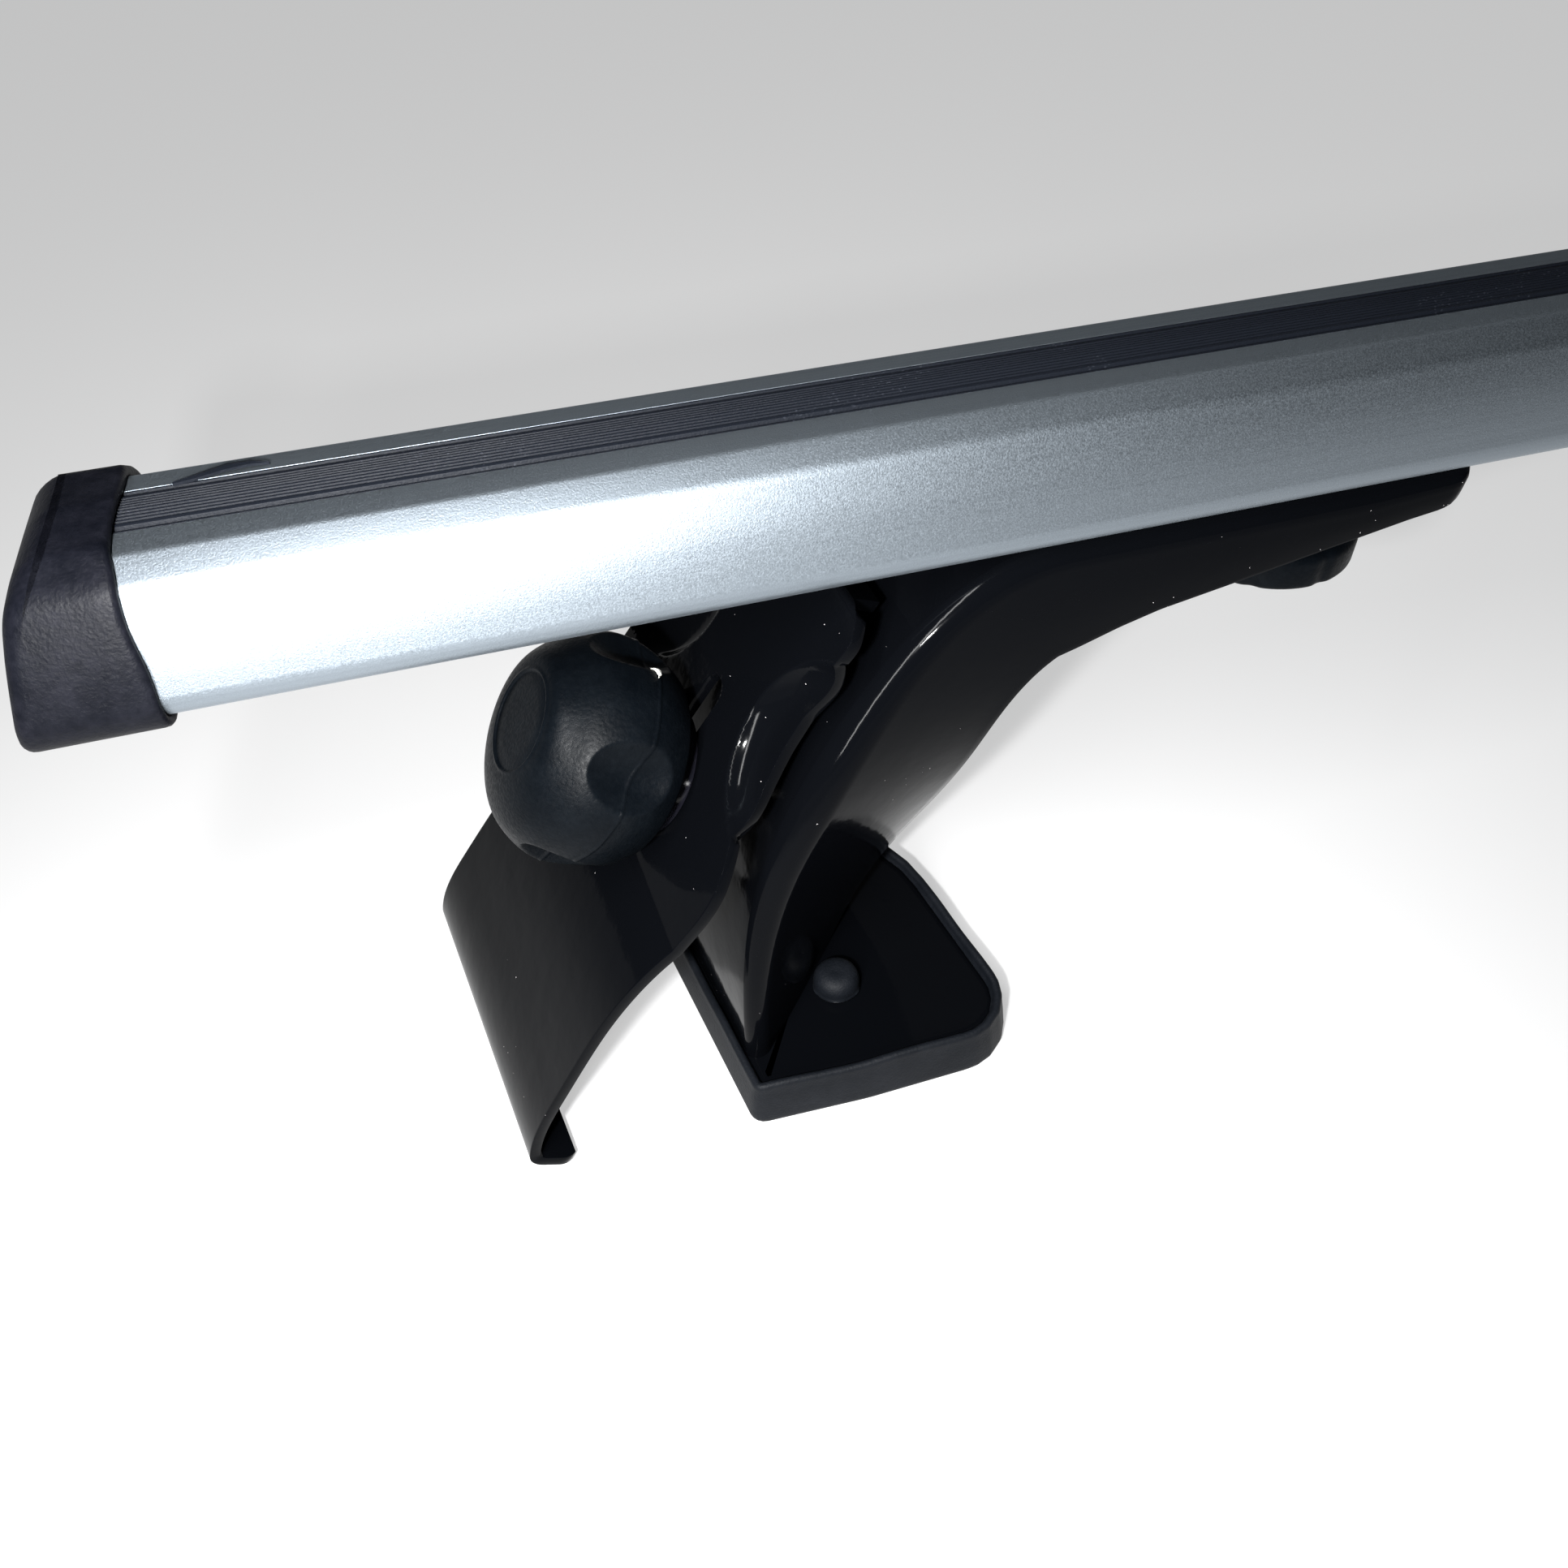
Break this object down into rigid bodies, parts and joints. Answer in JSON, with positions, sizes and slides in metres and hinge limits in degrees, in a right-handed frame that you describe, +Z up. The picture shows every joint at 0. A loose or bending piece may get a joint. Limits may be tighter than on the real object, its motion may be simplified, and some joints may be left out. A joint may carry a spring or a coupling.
{
  "type": "roof rack crossbar",
  "caption": "Aluminium roof rack crossbar with rubber strip and end caps, carried by steel clamp feet with hooked straps, hand knobs and rubber roof pads.",
  "frame": {"origin": "on the surface that the roof pads stand on, under the middle of the bar", "axes": "+X along the bar, +Z up from the roof to the bar"},
  "size_m": [1.1976, 0.1, 0.1954],
  "materials": {
    "bar": "satin anodised",
    "strip": "matt ribbed",
    "cap": "matt, scuffed",
    "steel_black": "glossy black enamel",
    "pad": "matt",
    "zinc": "zinc plated",
    "collar": "gloss",
    "knob": "fine matt",
    "brass": "plain"
  },
  "bodies": {
    "crossbar": {"bar_extrusion": "bar", "slot_rubber_strip": "strip", "end_cap_left": "cap", "end_cap_right": "cap"},
    "foot_left": {"foot_bracket_left": "steel_black", "foot_pad_left": "pad", "clamp_stud_left": "zinc", "bar_bolt_left": "zinc"},
    "strap_left": {"clamp_strap_left": "steel_black", "clamp_washer_left": "collar"},
    "knob_left": {"clamp_knob_left": "knob", "knob_insert_left": "brass"},
    "nut_washer_left": {"bar_washer_left": "zinc"},
    "hand_nut_left": {"bar_nut_left": "knob", "nut_insert_left": "brass"},
    "foot_right": {"foot_bracket_right": "steel_black", "foot_pad_right": "pad", "clamp_stud_right": "zinc", "bar_bolt_right": "zinc"},
    "strap_right": {"clamp_strap_right": "steel_black", "clamp_washer_right": "collar"},
    "knob_right": {"clamp_knob_right": "knob", "knob_insert_right": "brass"},
    "nut_washer_right": {"bar_washer_right": "zinc"},
    "hand_nut_right": {"bar_nut_right": "knob", "nut_insert_right": "brass"}
  },
  "joints": [
    {"name": "foot_slide_left", "type": "slide", "parent": "crossbar", "child": "foot_left", "axis": [1, 0, 0], "range_m": [-0.06, 0.15]},
    {"name": "clamp_travel_left", "type": "slide", "parent": "foot_left", "child": "strap_left", "axis": [-0.7949, -0.0636, 0.6034], "range_m": [0, 0.006]},
    {"name": "knob_turn_left", "type": "hinge", "parent": "strap_left", "child": "knob_left", "pos_m": [-0.47769, -0.00108, 0.09903], "axis": [-0.7949, -0.0636, 0.6034], "range_deg": [0, 1727]},
    {"name": "nut_travel_left", "type": "slide", "parent": "foot_left", "child": "nut_washer_left", "axis": [0, 0, -1], "range_m": [0, 0.003]},
    {"name": "nut_turn_left", "type": "hinge", "parent": "nut_washer_left", "child": "hand_nut_left", "pos_m": [-0.315, 0, 0.14], "axis": [0, 0, -1], "range_deg": [0, 863]},
    {"name": "foot_slide_right", "type": "slide", "parent": "crossbar", "child": "foot_right", "axis": [-1, 0, 0], "range_m": [-0.06, 0.15]},
    {"name": "clamp_travel_right", "type": "slide", "parent": "foot_right", "child": "strap_right", "axis": [0.7949, -0.0636, 0.6034], "range_m": [0, 0.006]},
    {"name": "knob_turn_right", "type": "hinge", "parent": "strap_right", "child": "knob_right", "pos_m": [0.47769, -0.00108, 0.09903], "axis": [0.7949, -0.0636, 0.6034], "range_deg": [0, 1727]},
    {"name": "nut_travel_right", "type": "slide", "parent": "foot_right", "child": "nut_washer_right", "axis": [0, 0, -1], "range_m": [0, 0.003]},
    {"name": "nut_turn_right", "type": "hinge", "parent": "nut_washer_right", "child": "hand_nut_right", "pos_m": [0.315, 0, 0.14], "axis": [0, 0, -1], "range_deg": [0, 863]}
  ],
  "couplings": [
    {"joint": "clamp_travel_left", "follows": "knob_turn_left", "m_per_rad": 0.00019894},
    {"joint": "nut_travel_left", "follows": "nut_turn_left", "m_per_rad": 0.00019894},
    {"joint": "clamp_travel_right", "follows": "knob_turn_right", "m_per_rad": 0.00019894},
    {"joint": "nut_travel_right", "follows": "nut_turn_right", "m_per_rad": 0.00019894}
  ]
}
